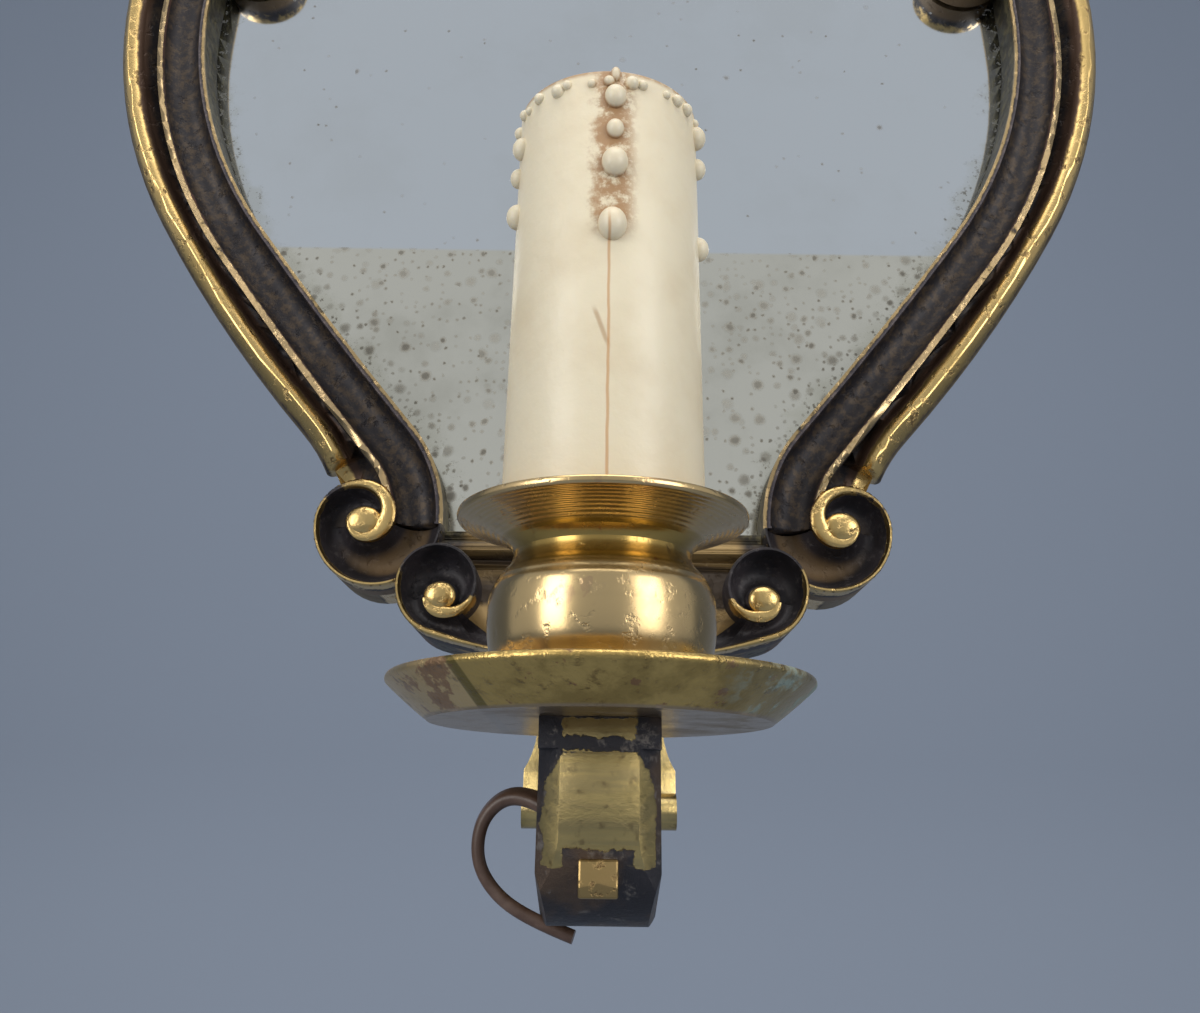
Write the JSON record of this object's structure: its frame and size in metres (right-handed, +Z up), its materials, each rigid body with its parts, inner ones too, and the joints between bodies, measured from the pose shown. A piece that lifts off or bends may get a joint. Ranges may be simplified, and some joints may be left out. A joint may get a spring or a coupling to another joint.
{
  "type": "girandole wall mirror",
  "caption": "Wall mirror in a cast scrolled brass frame, with an electric candle in a cup and drip pan on a short arm.",
  "frame": {"origin": "on the wall plane behind the frame, on its centre line, level with the widest part of the frame", "axes": "X to the right seen from the front, Y into the wall, Z up; the front faces -Y"},
  "size_m": [0.2216, 0.0904, 0.2873],
  "materials": {
    "cast_brass": "old gilt brass, dark in the hollows",
    "old_mirror": "silvering with foxing",
    "board": "thin bare board",
    "buttons": "dull",
    "screws": "dull",
    "hanger": "dull",
    "arm_brass": "worn, dark in the hollows",
    "pan_brass": "stained, green in places",
    "cup_brass": "turned, worn",
    "fitting": "plain",
    "insulator": "glazed",
    "skirt": "plain",
    "contact_brass": "clean",
    "sleeve": "aged ivory",
    "flex": "brown two-core flex"
  },
  "bodies": {
    "mirror": {"frame_casting": "cast_brass", "mirror_glass": "old_mirror", "backing_board": "board", "turn_button_screws": "screws", "hanger_strap": "hanger", "hanger_screws": "screws", "arm": "arm_brass", "arm_screws": "screws", "drip_pan": "pan_brass", "candle_cup": "cup_brass", "nipple": "fitting", "nipple_nut": "fitting", "holder_base": "fitting", "holder_body": "insulator", "holder_skirt": "skirt", "lamp_shell": "contact_brass", "terminal_screws": "screws", "flex_in_nipple": "flex", "flex": "flex"},
    "ring": {"hanging_ring": "hanger"},
    "contact": {"centre_contact": "contact_brass"},
    "sleeve": {"candle_sleeve": "sleeve"},
    "button_upper_left": {"turn_button_upper_left": "buttons"},
    "button_upper_right": {"turn_button_upper_right": "buttons"},
    "button_lower_left": {"turn_button_lower_left": "buttons"},
    "button_lower_right": {"turn_button_lower_right": "buttons"}
  },
  "joints": [
    {"name": "sleeve_lift", "type": "slide", "parent": "mirror", "child": "sleeve", "axis": [0, 0, 1], "range_m": [0, 0.07]},
    {"name": "ring_swing", "type": "hinge", "parent": "mirror", "child": "ring", "pos_m": [0, -0.00175, 0.09527], "axis": [1, 0, 0], "range_deg": [0, 120]},
    {"name": "contact_press", "type": "slide", "parent": "mirror", "child": "contact", "axis": [0, 0, -1], "range_m": [0, 0.0006], "stiffness_N_per_m": 800},
    {"name": "button_upper_left_turn", "type": "hinge", "parent": "mirror", "child": "button_upper_left", "pos_m": [-0.09684, -0.00255, 0.0182], "axis": [0, -1, 0], "range_deg": [0, 90]},
    {"name": "button_upper_right_turn", "type": "hinge", "parent": "mirror", "child": "button_upper_right", "pos_m": [0.09684, -0.00255, 0.0182], "axis": [0, 1, 0], "range_deg": [0, 90]},
    {"name": "button_lower_left_turn", "type": "hinge", "parent": "mirror", "child": "button_lower_left", "pos_m": [-0.09021, -0.00255, -0.04358], "axis": [0, -1, 0], "range_deg": [0, 90]},
    {"name": "button_lower_right_turn", "type": "hinge", "parent": "mirror", "child": "button_lower_right", "pos_m": [0.09021, -0.00255, -0.04358], "axis": [0, 1, 0], "range_deg": [0, 90]}
  ]
}
